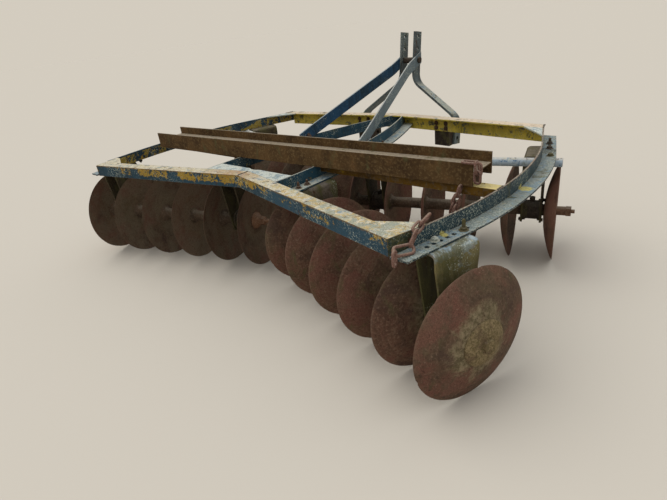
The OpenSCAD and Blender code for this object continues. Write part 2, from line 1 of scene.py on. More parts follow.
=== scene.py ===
"""Looks of the mounted tandem disc harrow: worn paint, rust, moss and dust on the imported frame,
finer discs and chains, bolts, end bells, welds, a pale floor, soft light and the camera."""
import json
import math
import random

import bmesh
import bpy
from mathutils import Matrix, Vector, noise


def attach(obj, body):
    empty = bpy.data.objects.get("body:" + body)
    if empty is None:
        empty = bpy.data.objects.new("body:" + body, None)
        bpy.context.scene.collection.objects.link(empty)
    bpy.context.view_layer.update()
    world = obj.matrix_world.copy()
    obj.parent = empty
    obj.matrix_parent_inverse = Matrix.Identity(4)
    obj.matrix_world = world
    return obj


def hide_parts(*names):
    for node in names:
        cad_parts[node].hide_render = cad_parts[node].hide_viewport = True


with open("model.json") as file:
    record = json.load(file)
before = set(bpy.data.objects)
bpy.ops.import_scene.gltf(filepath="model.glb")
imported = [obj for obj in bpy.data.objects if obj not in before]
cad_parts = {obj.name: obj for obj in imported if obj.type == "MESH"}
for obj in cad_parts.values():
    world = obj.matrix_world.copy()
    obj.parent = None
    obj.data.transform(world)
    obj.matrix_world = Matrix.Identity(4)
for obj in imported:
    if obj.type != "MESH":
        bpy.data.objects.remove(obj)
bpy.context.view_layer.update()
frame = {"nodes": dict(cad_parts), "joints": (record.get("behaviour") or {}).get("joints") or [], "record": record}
rng = random.Random(7)
UP = Vector((0, 0, 1))

# Places on the machine are in millimetres from the drawing's mark. The lower pins' distance
# from it, in metres, gives the mark's place in the shared frame
LOWER_PIN_Y = 1.030
mounts = {m["name"]: m for m in frame["record"]["mounts"]}
MID_Y = LOWER_PIN_Y - mounts["lower_link_right"]["pos_m"][1]


def mark(x, y, z):
    """Point in the shared frame, in metres."""
    return Vector((x / 1000, y / 1000 - MID_Y, z / 1000))


# Sizes that the pieces made here share with the solids
DISC_R = 0.280
DISC_T = 0.005
DISH = 0.064
DISH_R = (DISC_R ** 2 + DISH ** 2) / (2 * DISH)
PITCH = {"rear": 0.254, "front": 0.230}
DISCS = 6
TOP = 690
FLANGE_TOP = 628
WEB_LOW = 620
IRON_T = 8
ARC_R = 1920
ARC_C = (-606, -130)
ARC_REAR = math.radians(-12)
ARC_FRONT = math.radians(19.5)
RAIL_R = 3154
RAIL_C = (-2846, -346)
# The front bar's bend: its middle's y, and how far back its corners lie
FRONT_MID_Y = 986
FRONT_DROP = 114
CORNER_X = 1078
# The beam's middle, and the braces' feet: y and height of a foot's end, its slope and thickness
BEAM_PLACE = (6, -210)
BEAM_SKEW = math.radians(2.6)
BRACE_FOOT = (216, 716)
BRACE_SLOPE = 0.385
BRACE_T = 10.4
# How far a gang's housings lie from its first and its last disc, and half their length
HOUSING_IN = {"rear": (0.150, 0.120), "front": (0.132, 0.097)}
HOUSING_HALF = 0.055


def arc_x(y):
    """Outer face of a side arc's web."""
    y0 = ARC_C[1] + ARC_R * math.sin(ARC_REAR)
    y1 = ARC_C[1] + ARC_R * math.sin(ARC_FRONT)
    if y < y0:
        return ARC_C[0] + ARC_R * math.cos(ARC_REAR) - (y - y0) * math.tan(ARC_REAR)
    if y > y1:
        return ARC_C[0] + ARC_R * math.cos(ARC_FRONT) - (y - y1) * math.tan(ARC_FRONT)
    return ARC_C[0] + math.sqrt(ARC_R ** 2 - (y - ARC_C[1]) ** 2)


def rail_x(y):
    """Outer face of an inner rail's web."""
    return RAIL_C[0] + math.sqrt(RAIL_R ** 2 - (y - RAIL_C[1]) ** 2)


# Camera, as solved from the photograph; its focal length and the photograph's width are pixels
CAM_PLACE = Vector((2.101, -2.0301 - MID_Y, 1.3994))
CAM_AZ = math.radians(44.92)
CAM_PITCH = math.radians(25.98)
CAM_ROLL = math.radians(-7.07)
SENSOR = 36
FOCAL = 477.32
PHOTO_WIDTH = 667
LENS = FOCAL / PHOTO_WIDTH * SENSOR


def add_camera():
    """The photograph's camera, in the place and turn that were solved for it."""
    look = Vector((-math.sin(CAM_AZ) * math.cos(CAM_PITCH),
                   math.cos(CAM_AZ) * math.cos(CAM_PITCH), -math.sin(CAM_PITCH)))
    right = look.cross(UP).normalized()
    above = right.cross(look)
    right, above = (right * math.cos(CAM_ROLL) + above * math.sin(CAM_ROLL),
                    above * math.cos(CAM_ROLL) - right * math.sin(CAM_ROLL))
    cam = bpy.data.objects.new("camera", bpy.data.cameras.new("camera"))
    cam.data.lens = LENS
    cam.data.sensor_width = SENSOR
    turn = Matrix((right, above, -look)).transposed().to_4x4()
    cam.matrix_world = Matrix.Translation(CAM_PLACE) @ turn
    bpy.context.scene.collection.objects.link(cam)
    bpy.context.scene.camera = cam


# Materials
class Shade:
    """One node material, built from small steps that each give back a socket."""

    def __init__(self, name):
        self.mat = bpy.data.materials.new(name)
        self.mat.use_nodes = True
        self.tree = self.mat.node_tree
        self.bsdf = self.tree.nodes["Principled BSDF"]
        place = self.tree.nodes.new("ShaderNodeTexCoord")
        self.place = place.outputs["Object"]
        self.normal = place.outputs["Normal"]
        self._edge = None
        self._soft = None

    def put(self, socket, value):
        """Link a socket to a value that is a socket, or else set it."""
        if isinstance(value, bpy.types.NodeSocket):
            self.tree.links.new(value, socket)
        elif isinstance(value, (tuple, list)) and len(value) == 3 and socket.type == "RGBA":
            socket.default_value = (*value, 1)
        else:
            socket.default_value = value

    def math(self, kind, a, b=0.0):
        n = self.tree.nodes.new("ShaderNodeMath")
        n.operation = kind
        self.put(n.inputs[0], a)
        self.put(n.inputs[1], b)
        return n.outputs[0]

    def band(self, value, low, high, to_low=0.0, to_high=1.0):
        """Smooth step from to_low to to_high while the value goes from low to high."""
        n = self.tree.nodes.new("ShaderNodeMapRange")
        n.interpolation_type = "SMOOTHSTEP"
        for socket, v in zip(n.inputs[:5], (value, low, high, to_low, to_high)):
            self.put(socket, v)
        return n.outputs[0]

    def noise(self, scale, detail, rough=0.55, warp=0.0, where=None):
        n = self.tree.nodes.new("ShaderNodeTexNoise")
        self.put(n.inputs["Vector"], where or self.place)
        self.put(n.inputs["Scale"], scale)
        self.put(n.inputs["Detail"], detail)
        self.put(n.inputs["Roughness"], rough)
        self.put(n.inputs["Distortion"], warp)
        return n.outputs["Fac"]

    def stretched(self, x, y, z, move=(0, 0, 0)):
        n = self.tree.nodes.new("ShaderNodeMapping")
        self.put(n.inputs["Vector"], self.place)
        n.inputs["Scale"].default_value = (x, y, z)
        n.inputs["Location"].default_value = move
        return n.outputs[0]

    def part(self, vector, axis):
        """One coordinate of a vector."""
        n = self.tree.nodes.new("ShaderNodeSeparateXYZ")
        self.put(n.inputs[0], vector)
        return n.outputs[axis]

    def attribute(self, name):
        n = self.tree.nodes.new("ShaderNodeAttribute")
        n.attribute_name = name
        return n.outputs["Fac"]

    def mix(self, share, a, b):
        n = self.tree.nodes.new("ShaderNodeMix")
        n.data_type = "RGBA"
        self.put(n.inputs["Factor"], share)
        self.put(n.inputs[6], a)
        self.put(n.inputs[7], b)
        return n.outputs[2]

    def edge(self, radius=0.004):
        """1 along outer edges, 0 on open faces."""
        if self._edge is None:
            bevel = self.tree.nodes.new("ShaderNodeBevel")
            bevel.samples = 4
            bevel.inputs["Radius"].default_value = radius
            geo = self.tree.nodes.new("ShaderNodeNewGeometry")
            dot = self.tree.nodes.new("ShaderNodeVectorMath")
            dot.operation = "DOT_PRODUCT"
            self.tree.links.new(bevel.outputs[0], dot.inputs[0])
            self.tree.links.new(geo.outputs["Normal"], dot.inputs[1])
            self._edge = self.band(dot.outputs["Value"], 0.995, 0.86)
            self._soft = bevel.outputs[0]
        return self._edge

    def finish(self, colour, rough, height, strength, depth, specular):
        """Put colour, roughness and height on the shader; depth is the relief's in metres."""
        self.put(self.bsdf.inputs["Base Color"], colour)
        self.put(self.bsdf.inputs["Roughness"], rough)
        self.bsdf.inputs["Specular IOR Level"].default_value = specular
        bump = self.tree.nodes.new("ShaderNodeBump")
        bump.inputs["Strength"].default_value = strength
        bump.inputs["Distance"].default_value = depth
        self.put(bump.inputs["Height"], height)
        if self._soft is not None:
            self.tree.links.new(self._soft, bump.inputs["Normal"])
        self.tree.links.new(bump.outputs[0], self.bsdf.inputs["Normal"])
        return self.mat


# Linear colours, and the sheen and relief of paint and rust
RUST_DARK = (0.032, 0.018, 0.011)
RUST = (0.092, 0.043, 0.022)
RUST_BRIGHT = (0.20, 0.085, 0.032)
RUST_PALE = (0.26, 0.16, 0.09)
DUST = (0.42, 0.36, 0.27)
LICHEN = (0.50, 0.53, 0.42)
MOSS = (0.060, 0.062, 0.020)
MOSS_DRY = (0.115, 0.100, 0.040)
MOSS_TAN = (0.13, 0.105, 0.05)
GRIME = (0.022, 0.028, 0.020)
SOOT = (0.02, 0.02, 0.015)
BLUE = (0.035, 0.075, 0.110)
BLUE_DARK = (0.016, 0.034, 0.050)
BLUE_PALE = (0.19, 0.27, 0.32)
YELLOW = (0.32, 0.235, 0.035)
YELLOW_DARK = (0.105, 0.085, 0.018)
CREAM = (0.50, 0.44, 0.27)
PAINT_SHEEN = 0.15
PAINT_RELIEF = 0.0016
RUST_SHEEN = 0.12


def paint(name, main, dark, under, under_share, top, patch, rust, lichen, moss=0.0, shift=0.0,
          blend=(0.2, 0.2, 0.1), side=None, late=None):
    """Old paint: it has faded unevenly, shows an earlier coat in ragged patches, is chipped to
    rust along its edges, and has dust, moss and lichen where water stays. Upward faces are
    bleached to the top colour, with shares of faded blue, cream and rust by blend. The side
    step shows more or less of the earlier coat, the late step adds patches of the part's own."""
    s = Shade(name)
    where = s.stretched(1, 1, 1, (shift, shift * 0.7, shift * 0.3))
    big = s.noise(2.3, 3, where=where)
    mid = s.noise(patch, 9, 0.68, 0.5, where=where)
    fine = s.noise(60, 7, 0.66, 0.3, where=where)
    grain = s.noise(300, 3, 0.6)
    streak = s.noise(1.0, 5, 0.6, where=s.stretched(38, 38, 5, (shift, 0, 0)))
    colour = s.mix(s.band(s.math("ADD", big, s.math("MULTIPLY", streak, 0.5)), 0.66, 0.96),
                   main, dark)
    colour = s.mix(s.band(fine, 0.47, 0.72, 0.0, 0.45), colour, s.mix(0.35, main, BLUE_PALE))
    speck = s.noise(75, 8, 0.75, 0.4, where=where)
    colour = s.mix(s.band(speck, 0.46, 0.36, 0, 0.5), colour, s.mix(0.6, dark, SOOT))
    # Earlier coat
    cut = s.math("ADD", s.math("MULTIPLY", mid, 0.65), s.math("MULTIPLY", fine, 0.35))
    if side is not None:
        cut = s.math("ADD", cut, side(s))
    edge_at = 0.66 - 0.30 * under_share
    shown = s.band(cut, edge_at, edge_at + 0.015)
    old = s.mix(s.band(grain, 0.35, 0.65), under, s.mix(0.6, under, dark))
    old = s.mix(s.band(s.noise(34, 6, 0.7, where=where), 0.55, 0.60), old,
                s.mix(0.5, under, RUST_BRIGHT))
    colour = s.mix(shown, colour, old)
    # Upward faces. On the ties the main colour is painted shade, so their sides come out darker than these tops
    up = s.band(s.part(s.normal, 2), 0.55, 0.85)
    bleached = s.mix(s.band(fine, 0.38, 0.62), top, s.mix(0.35, top, DUST))
    for k, (share, tint) in enumerate(zip(blend, (BLUE_PALE, CREAM, RUST))):
        spread = s.noise(20 + 7 * k, 9, 0.7, 0.6,
                         where=s.stretched(1, 1, 1, (shift + 5 * k, 3, k)))
        bleached = s.mix(s.band(spread, 0.63 - 0.25 * share, 0.67 - 0.25 * share, 0, 0.85),
                         bleached, tint)
    bleached = s.mix(s.band(speck, 0.44, 0.34, 0, 0.45), bleached, s.mix(0.5, dark, top))
    colour = s.mix(s.math("MULTIPLY", up, 0.95), colour, bleached)
    if late is not None:
        colour = late(s, colour, fine)
    # Rust in spots and along the edges
    pits = s.noise(27, 9, 0.72, where=s.stretched(1, 1, 0.6, (shift + 3, 1, 5)))
    spots = s.band(pits, 0.66 - 0.12 * rust, 0.69 - 0.12 * rust)
    rusty = s.mix(s.band(fine, 0.35, 0.65), RUST, RUST_DARK)
    rusty = s.mix(s.band(grain, 0.55, 0.70), rusty, RUST_BRIGHT)
    colour = s.mix(s.math("MULTIPLY", spots, 0.85), colour, rusty)
    worn = s.math("MULTIPLY", s.edge(),
                  s.band(s.math("ADD", fine, mid), 0.95 - 0.3 * rust, 1.10 - 0.3 * rust))
    colour = s.mix(worn, colour, s.mix(s.band(grain, 0.4, 0.6), rusty, RUST_PALE))
    # Moss and lichen
    if moss:
        green = s.noise(11, 7, 0.68, 0.4, where=s.stretched(1, 1, 0.45, (shift, 8, 2)))
        colour = s.mix(s.band(green, 0.62 - 0.35 * moss, 0.72 - 0.30 * moss, 0, 0.85), colour,
                       s.mix(s.band(grain, 0.35, 0.65), MOSS, MOSS_DRY))
    if lichen:
        crust = s.noise(150, 3, 0.7, 0.8, where=where)
        clumps = s.noise(6, 4, 0.6, where=s.stretched(1, 1, 1, (4, shift, 1)))
        dots = s.math("MULTIPLY", s.band(crust, 0.60 - 0.05 * lichen, 0.63 - 0.05 * lichen),
                      s.band(clumps, 0.60 - 0.30 * lichen, 0.66 - 0.15 * lichen))
        colour = s.mix(s.math("MULTIPLY", dots, 0.8), colour, LICHEN)
        dirt = s.noise(170, 3, 0.7, 0.5, where=where)
        colour = s.mix(s.band(dirt, 0.60 - 0.05 * lichen, 0.64 - 0.05 * lichen, 0, 0.8 * lichen),
                       colour, GRIME)
    step = s.math("SUBTRACT", s.math("MULTIPLY", fine, 0.5), s.math("MULTIPLY", shown, 0.25))
    height = s.math("ADD", s.math("MULTIPLY", grain, 0.25), step)
    height = s.math("SUBTRACT", height, s.math("MULTIPLY", spots, 0.35))
    rough = s.band(s.math("ADD", fine, spots), 0.3, 1.2, 0.52, 0.9)
    return s.finish(colour, rough, height, 0.4, PAINT_RELIEF, PAINT_SHEEN)


def rusty(name, low, mid_tone, high, scale, dust, moss=0.0, bright=0.3, depth=0.0022,
          late=None):
    """Old rust: dark scale, brown bloom, brighter specks and dust on upward faces."""
    s = Shade(name)
    big = s.noise(scale * 0.35, 5, 0.6)
    mid = s.noise(scale, 8, 0.66, 0.5)
    fine = s.noise(scale * 9, 6, 0.65)
    grain = s.noise(420, 2, 0.5)
    colour = s.mix(s.band(s.math("ADD", mid, s.math("MULTIPLY", big, 0.6)), 0.62, 1.0),
                   low, mid_tone)
    colour = s.mix(s.band(fine, 0.46, 0.68, 0, 0.8), colour, high)
    colour = s.mix(s.band(s.math("ADD", grain, mid), 1.12, 1.3, 0, bright), colour, RUST_BRIGHT)
    up = s.band(s.part(s.normal, 2), 0.5, 0.95)
    colour = s.mix(s.math("MULTIPLY", up, s.band(fine, 0.3, 0.6, dust * 0.6, dust)), colour, DUST)
    if moss:
        green = s.noise(13, 6, 0.65, 0.4, where=s.stretched(1, 1, 0.5, (2, 8, 2)))
        colour = s.mix(s.band(green, 0.60 - 0.3 * moss, 0.72 - 0.25 * moss, 0, 0.8), colour,
                       s.mix(s.band(grain, 0.35, 0.65), MOSS, MOSS_TAN))
    worn = s.math("MULTIPLY", s.edge(0.003), s.band(fine, 0.35, 0.65, 0.15, 0.7))
    colour = s.mix(worn, colour, high)
    if late is not None:
        colour = late(s, colour, fine)
    height = s.math("ADD", s.math("MULTIPLY", fine, 0.6), s.math("MULTIPLY", grain, 0.25))
    return s.finish(colour, s.band(fine, 0.3, 0.7, 0.72, 0.93), height, 0.45, depth, RUST_SHEEN)


GROOVE = (0.050, 0.027, 0.017)
DISC_RED = (0.175, 0.074, 0.048)
DISC_DULL = (0.050, 0.038, 0.022)
BLOTCH = ((0.190, 0.072, 0.052), (0.120, 0.050, 0.036))
BLOTCH_DARK = (0.058, 0.030, 0.024)
HUB_MOSS = ((0.105, 0.085, 0.042), (0.270, 0.215, 0.125))
DISC_MOSS = (0.115, 0.088, 0.046)
SOIL = ((0.215, 0.172, 0.112), (0.130, 0.102, 0.066))
SOIL_RUN = (0.135, 0.092, 0.060)
SPECK_DARK = (0.030, 0.017, 0.011)
SPECK_PALE = (0.260, 0.175, 0.120)
SCOURED = (0.155, 0.100, 0.066)


def disc_layers(s, colour, fine):
    """A disc's own tone, the rings that soil has worn into it, blotches, moss round the hubs,
    dry soil on the left half, specks, and the scoured rim."""
    tone = s.attribute("tone")
    rad = s.attribute("rad")
    grain = s.noise(300, 3, 0.6)
    rings = s.tree.nodes.new("ShaderNodeCombineXYZ")
    s.put(rings.inputs[0], s.math("MULTIPLY", rad, 26))
    s.put(rings.inputs[1], s.math("MULTIPLY", tone, 40))
    worn_rings = s.noise(1.0, 4, 0.6, where=rings.outputs[0])
    colour = s.mix(s.band(worn_rings, 0.42, 0.62, 0, 0.35), colour, GROOVE)
    colour = s.mix(s.band(tone, 0.5, 1.0, 0, 0.6), colour, DISC_RED)
    colour = s.mix(s.band(tone, 0.5, 0.0, 0, 0.6), colour, DISC_DULL)
    blotch = s.noise(5.5, 7, 0.65, 0.5)
    colour = s.mix(s.band(blotch, 0.47, 0.60, 0, 0.7), colour,
                   s.mix(s.band(grain, 0.4, 0.6), *BLOTCH))
    colour = s.mix(s.band(blotch, 0.46, 0.38, 0, 0.6), colour, BLOTCH_DARK)
    green = s.noise(9, 8, 0.72, 0.4)
    outer = s.math("MULTIPLY", s.band(s.part(s.place, 0), 1.15, 1.25),
                   s.band(s.part(s.place, 1), -0.3, -0.5))
    reach = s.math("ADD", rad, s.math("MULTIPLY", s.math("SUBTRACT", green, 0.5), -1.1))
    ring = s.math("MULTIPLY", s.band(rad, 0.20, 0.25), s.band(reach, 0.60, 0.34))
    moss = s.mix(s.band(s.noise(40, 7, 0.75), 0.40, 0.60), *HUB_MOSS)
    colour = s.mix(s.math("MULTIPLY", ring, s.band(outer, 0, 1, 0.35, 0.9)), colour, moss)
    mossy = s.noise(3.2, 6, 0.65, 0.3, where=s.stretched(1, 1, 1, (7, 2, 4)))
    colour = s.mix(s.band(mossy, 0.52, 0.66, 0, 0.4), colour, DISC_MOSS)
    tan = s.noise(7, 7, 0.7, 0.3, where=s.stretched(1, 1, 1, (1, 9, 3)))
    left = s.band(s.part(s.place, 0), 0.0, -0.3, 0.12, 0.70)
    colour = s.mix(s.math("MULTIPLY", left, s.band(tan, 0.36, 0.58, 0.2, 1.0)), colour,
                   s.mix(s.band(grain, 0.4, 0.6), *SOIL))
    streak = s.noise(1.0, 6, 0.6, where=s.stretched(5, 5, 34))
    colour = s.mix(s.band(streak, 0.55, 0.72, 0, 0.25), colour, SOIL_RUN)
    speckle = s.noise(95, 5, 0.75, 0.3)
    colour = s.mix(s.band(speckle, 0.45, 0.34, 0, 0.6), colour, SPECK_DARK)
    colour = s.mix(s.band(speckle, 0.56, 0.68, 0, 0.5), colour, SPECK_PALE)
    rim = s.math("MULTIPLY", s.band(rad, 0.965, 0.995), s.band(fine, 0.35, 0.6, 0.1, 0.6))
    return s.mix(rim, colour, SCOURED)


def yellow_side(s):
    """The earlier coat shows most on the left half of the rear bar, in blotches beside the
    bend, and a little at its right corner."""
    x = s.part(s.place, 0)
    left = s.math("MULTIPLY", s.band(x, -1.04, -0.90), s.band(x, 0.30, 0.05))
    gap = s.math("MULTIPLY", s.band(x, -0.56, -0.51), s.band(x, -0.42, -0.47))
    top = s.band(s.part(s.place, 2), 0.628, 0.650, -0.08, 0.02)
    corner = s.band(x, 1.06, 1.15, 0.0, 0.03)
    more = s.math("SUBTRACT", s.math("MULTIPLY", left, 0.075), s.math("MULTIPLY", gap, 0.05))
    return s.math("ADD", s.math("ADD", more, top), corner)


def inner_yellow(s):
    """The earlier coat covers the inner face below a strip along the top."""
    inner = s.band(s.part(s.normal, 0), 0.3, 0.8, 0.0, 0.12)
    return s.math("MULTIPLY", inner, s.band(s.part(s.place, 2), 0.683, 0.678))


def arc_patches(s, colour, fine):
    """Yellow lichen on the right arc's flange, well forward and by its holes, a strip of
    brown rust on its web's top edge, and grime between the bolts at its front end."""
    z = s.part(s.place, 2)
    rust = s.mix(s.band(fine, 0.4, 0.6), (0.20, 0.115, 0.075), (0.33, 0.24, 0.17))
    ragged = s.math("ADD", z, s.math("MULTIPLY", fine, 0.006))
    colour = s.mix(s.band(ragged, TOP / 1000 + 0.0005, TOP / 1000 + 0.003, 0, 0.8), colour, rust)
    ink = s.noise(90, 4, 0.6, 2.0)
    y = s.part(s.place, 1)
    low, high = mark(0, 500, 0).y, mark(0, 600, 0).y
    grime = s.math("MULTIPLY", s.band(y, low, low + 0.02), s.band(y, high + 0.02, high))
    grime = s.math("MULTIPLY", grime, s.band(ink, 0.47, 0.51))
    colour = s.mix(s.math("MULTIPLY", grime, 0.85), colour, (0.020, 0.026, 0.024))
    for y, out, r in ((-30, 24, 0.030), (-608, 12, 0.017)):
        at = mark(arc_x(y) + out, y, FLANGE_TOP)
        away = s.tree.nodes.new("ShaderNodeVectorMath")
        away.operation = "DISTANCE"
        s.put(away.inputs[0], s.place)
        away.inputs[1].default_value = at
        reach = s.math("ADD", away.outputs["Value"], s.math("MULTIPLY", fine, r * 1.6))
        colour = s.mix(s.band(reach, r * 1.9, r * 1.6, 0, 0.9), colour, (0.56, 0.47, 0.12))
    return colour


def hanger_patches_and_shade(s, colour, fine):
    """The inner hanger is brown with rust and dust; the outer one is green, and its leg on the side that the discs
    shade is darkened with painted shade."""
    x = s.part(s.place, 0)
    # Painted shade: the outer hanger's inner leg, low down, is darkened where the discs shade it
    painted_shade_leg = s.math("MULTIPLY", s.band(x, 1.310, 1.285), s.band(s.part(s.place, 2), 0.600, 0.565))
    colour = s.mix(s.math("MULTIPLY", painted_shade_leg, 0.8), colour, (0.034, 0.028, 0.017))
    brown = s.mix(s.band(fine, 0.4, 0.62), (0.085, 0.060, 0.042), (0.150, 0.118, 0.090))
    return s.mix(s.band(x, 0.85, 0.75, 0, 0.9), colour, brown)


def rear_patches(s, colour, fine):
    """Orange rust along the web's top edge and round the bend over the flange, golden and
    grey patches on the flange's right half, and moss on the ends' short webs."""
    z = s.math("ADD", s.part(s.place, 2), s.math("MULTIPLY", fine, 0.03))
    upright = s.band(s.part(s.normal, 2), 0.7, 0.4)
    colour = s.mix(s.math("MULTIPLY", upright, s.band(z, 0.695, 0.705, 0, 0.75)), colour,
                   (0.19, 0.105, 0.028))
    x = s.part(s.place, 0)
    patch = s.noise(16, 9, 0.72, 0.6, where=s.stretched(1, 1, 1, (9, 2, 6)))
    bend = s.math("MULTIPLY", s.band(x, -0.36, -0.10), s.band(x, 0.22, 0.0))
    flat = s.math("SUBTRACT", 1.0, upright)
    bend = s.math("MULTIPLY", s.math("MULTIPLY", bend, flat), s.band(patch, 0.42, 0.52, 0.15, 0.75))
    colour = s.mix(bend, colour, (0.36, 0.205, 0.105))
    gold = s.noise(24, 9, 0.74, 0.8, where=s.stretched(1, 1, 1, (3, 7, 2)))
    colour = s.mix(s.math("MULTIPLY", s.math("MULTIPLY", flat, s.band(x, 0.1, 0.5, 0.35, 1.0)),
                          s.band(gold, 0.50, 0.54, 0, 0.85)), colour, (0.50, 0.345, 0.115))
    grey = s.noise(30, 8, 0.7, 0.4, where=s.stretched(1, 1, 1, (2, 2, 9)))
    colour = s.mix(s.math("MULTIPLY", s.math("MULTIPLY", flat, s.band(x, 0.3, 0.9, 0.0, 0.8)),
                          s.band(grey, 0.46, 0.56)), colour, (0.27, 0.30, 0.245))
    ends = s.band(s.math("ABSOLUTE", s.part(s.normal, 0)), 0.8, 0.95)
    moss = s.mix(s.band(fine, 0.4, 0.6), (0.045, 0.052, 0.018), (0.120, 0.110, 0.040))
    return s.mix(s.math("MULTIPLY", ends, s.band(patch, 0.40, 0.50, 0.1, 0.8)), colour, moss)


def hanger_top(s):
    """Old blue-grey shows on the bend at a hanger's top."""
    return s.band(s.part(s.place, 2), 0.575, 0.605, 0.0, 0.16)


def hub_moss(s, colour, fine):
    """Moss and dust on the broad washers at the outer ends of the rear gangs."""
    x = s.math("ABSOLUTE", s.part(s.place, 0))
    y = s.part(s.place, 1)
    outer = s.math("MULTIPLY", s.band(x, 1.15, 1.22), s.band(y, -0.4, -0.5))
    green = s.mix(s.band(fine, 0.40, 0.62), (0.120, 0.094, 0.040), (0.265, 0.200, 0.104))
    green = s.mix(s.band(s.noise(22, 7, 0.72, 0.4), 0.48, 0.62, 0, 0.7), green,
                  (0.100, 0.066, 0.038))
    return s.mix(s.math("MULTIPLY", outer, 0.85), colour, green)


